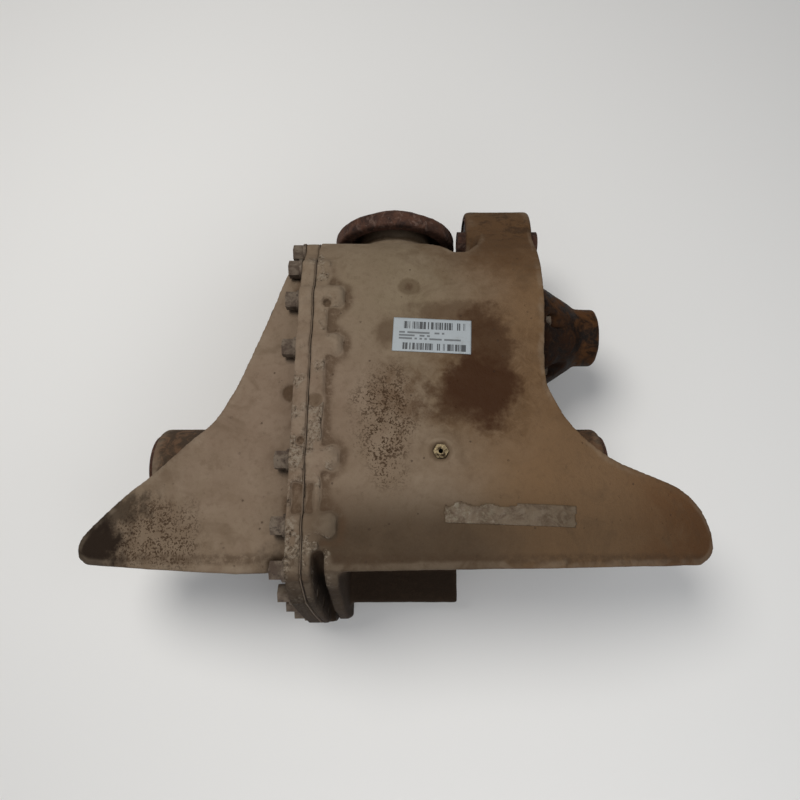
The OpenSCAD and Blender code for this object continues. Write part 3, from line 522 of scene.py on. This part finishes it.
def casting(node, name, voxel=0.0020):
    obj = welded_copy(name, node)
    around = cast_shape(obj, voxel, 13, 2)
    mesh = obj.data
    points, normals = vertex_array(mesh), vertex_array(mesh, "normal")
    # The skin runs on evenly into the right wing
    points = level(points, normals, around, at(132, -250, 55), at(192, -60, 140))
    # Slow waves of the sand mould and lumps of dried mud, outside only
    waves = noisy(points, 0.045, 1) * 0.00035 + noisy(points, 0.011, 2) * 0.00022
    points = points + normals * waves[:, None]
    for place, radius, depth in dents:
        points = dent(points, normals, place, radius, depth)
    points = pocket(points, normals, at(-92, -208, 90), at(-69, -177, 130), 0.004, 0.003)
    set_vertices(mesh, points)
    mark_relief(obj, around)
    for face in mesh.polygons:
        face.use_smooth = True
    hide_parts(node)
    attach(obj, "casing")
    return obj


# Small round marks and holes in the top skin: beside the joint, near the label and in the joint itself
dents = [(at(-99, -90, 95), 0.0095, 0.0020), (at(-73, -102, 112), 0.0075, 0.0022), (at(15, 20, 98), 0.0055, 0.0010),
         (at(-66, 0, 105), 0.0040, 0.0060), (at(-84, -140, 112), 0.0035, 0.0040)]
mud = mud_casting()
housing = casting("main_housing", "housing_casting")
cover = casting("side_cover", "cover_casting")
paint(housing, mud)
paint(cover, mud)

carrier = welded_copy("carrier_casting", "right_output_carrier")
carrier_around = cast_shape(carrier, 0.0016, 14, 3)
carrier_points = vertex_array(carrier.data)
carrier_normals = vertex_array(carrier.data, "normal")
set_vertices(carrier.data, carrier_points + carrier_normals * (noisy(carrier_points, 0.012, 5) * 0.0004)[:, None])
for face in carrier.data.polygons:
    face.use_smooth = True
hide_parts("right_output_carrier")
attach(carrier, "casing")
paint(carrier, dark_casting())

flange = welded_copy("flange_casting", "input_flange")
flange_around = cast_shape(flange, 0.0012, 4, 3)
flange_points = vertex_array(flange.data)
flange_normals = vertex_array(flange.data, "normal")
pits = noisy(flange_points, 0.008, 7) * 0.0004 + noisy(flange_points, 0.003, 8) * 0.0002
set_vertices(flange.data, flange_points + flange_normals * pits[:, None])
for face in flange.data.polygons:
    face.use_smooth = True
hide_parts("input_flange")
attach(flange, "pinion")
paint(flange, rust("flange_rust"))


# ---------- Label and tape on the top skin ----------
def skin_height(x, y):
    hit, place, _, _ = housing.ray_cast(Vector((x, y, centre.z + 0.3)), Vector((0, 0, -1)))
    return place.z if hit else centre.z


def patch(name, middle, width, depth, turn, lift, steps, keep=lambda u, v: True, curl=lambda u, v: 0.0):
    """A thin sheet lying on the skin; u and v run from -1 to 1 across it."""
    shape = bmesh.new()
    rows = []
    for j in range(steps[1] + 1):
        row = []
        for i in range(steps[0] + 1):
            u, v = 2 * i / steps[0] - 1, 2 * j / steps[1] - 1
            x = middle.x + (u * width * math.cos(turn) - v * depth * math.sin(turn)) / 2
            y = middle.y + (u * width * math.sin(turn) + v * depth * math.cos(turn)) / 2
            row.append(shape.verts.new((x, y, skin_height(x, y) + lift + curl(u, v))))
        rows.append(row)
    for j in range(steps[1]):
        for i in range(steps[0]):
            u, v = 2 * (i + 0.5) / steps[0] - 1, 2 * (j + 0.5) / steps[1] - 1
            if keep(u, v):
                shape.faces.new((rows[j][i], rows[j][i + 1], rows[j + 1][i + 1], rows[j + 1][i]))
    for vertex in [v for v in shape.verts if not v.link_faces]:
        shape.verts.remove(vertex)
    mesh = bpy.data.meshes.new(name)
    shape.to_mesh(mesh)
    shape.free()
    obj = add_object(name, mesh)
    thick = obj.modifiers.new("thick", "SOLIDIFY")
    thick.thickness = 0.00025
    thick.offset = 1
    for face in mesh.polygons:
        face.use_smooth = True
    applied(obj)
    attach(obj, "casing")
    return obj


label_middle = at(37, -35, 110)
label_turn = math.radians(-3)
label = patch("label_sheet", label_middle, 0.076, 0.036, label_turn, 0.0004, (48, 24))
paint(label, label_paper(label_middle, label_turn, 0.076, 0.036))
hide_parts("label")


def tape_left(u, v):
    """The tape has torn ends and a strip missing along its far edge."""
    wave = noise.noise(Vector((u * 5, v * 1.5, 3))) * 0.35
    return abs(u) < 0.97 + wave * 0.15 and (v < 0.75 + wave or u > 0.1)


tape = patch("tape_strip", at(104, -206, 90), 0.122, 0.019, math.radians(-2), 0.0004, (90, 16), tape_left,
             lambda u, v: 0.0009 * max(0, noise.noise(Vector((u * 7, v * 2, 9)))))
paint(tape, old_tape())
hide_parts("tape_remnant")

# ---------- Finishes of the CAD nodes that stay ----------
steel = machined("gear_steel", srgb(112, 112, 116), 0.34)
ground = machined("ground_steel", srgb(172, 172, 176), 0.22)
case_iron = machined("case_iron", srgb(96, 94, 92), 0.45, "x")
bronze = machined("bronze", srgb(176, 132, 74), 0.35)
bolt_steel = dirty_steel()
bush_rust = rust("bush_rust", 0.4)
bush_rubber = rubber("bush_rubber")
seal_rubber = plain("seal_rubber", srgb(24, 23, 22), 0.6)
gasket_sheet = plain("gasket_sheet", srgb(128, 108, 88), 0.9)
brass = old_brass()
by_slot = {"gear_steel": steel, "bearing_steel": ground, "case_iron": case_iron, "fastener_steel": bolt_steel,
           "rusty_steel": bush_rust, "bush_rubber": bush_rubber, "seal_rubber": seal_rubber,
           "gasket": gasket_sheet, "brass": brass}
for part in frame["record"]["subparts"]:
    if part["material_slot"] in by_slot:
        paint(nodes[part["node"]], by_slot[part["material_slot"]])
for name in ("side_thrust_washers", "planet_thrust_washers", "plug_washers"):
    paint(nodes[name], bronze)


# ---------- Floor, light and camera ----------
def area_light(name, place, target, size, power, colour=(1, 1, 1)):
    data = bpy.data.lights.new(name, "AREA")
    data.shape = "DISK"
    data.size = size
    data.energy = power
    data.color = colour
    lamp = bpy.data.objects.new(name, data)
    lamp.location = place
    lamp.rotation_euler = (Vector(target) - Vector(place)).to_track_quat("-Z", "Y").to_euler()
    bpy.context.scene.collection.objects.link(lamp)


floor_mesh = bpy.data.meshes.new("floor")
reach = 4.0
floor_z = cad_low.z
floor_mesh.from_pydata([(x, y, floor_z) for x, y in ((-reach, -reach), (reach, -reach), (reach, reach), (-reach, reach))],
                       [], [(0, 1, 2, 3)])
floor = add_object("floor", floor_mesh)
floor_paint = Paint("floor_paint")
paint(floor, floor_paint.finish(srgb(232, 231, 228, 1.0), 0.7))

middle = at(0, -100, 0)
area_light("key", at(-500, 350, 1500), middle, 0.8, 17.5, (1.0, 0.98, 0.95))
area_light("fill", at(900, -500, 1300), middle, 1.4, 6, (0.96, 0.98, 1.0))
area_light("low_rear", at(150, -1300, 450), middle, 1.2, 5, (0.98, 0.98, 1.0))
world = bpy.data.worlds.new("studio")
world.use_nodes = True
world.node_tree.nodes["Background"].inputs["Color"].default_value = (0.9, 0.93, 1.0, 1)
world.node_tree.nodes["Background"].inputs["Strength"].default_value = 0.19
bpy.context.scene.world = world
bpy.context.scene.view_settings.view_transform = "Standard"

camera_data = bpy.data.cameras.new("camera")
camera_data.lens = 27
camera_data.sensor_width = 36
camera = bpy.data.objects.new("camera", camera_data)
camera.location = at(6, -236.5, 654)
camera.rotation_euler = (math.radians(90 - 76), 0, 0)
bpy.context.scene.collection.objects.link(camera)
bpy.context.scene.camera = camera
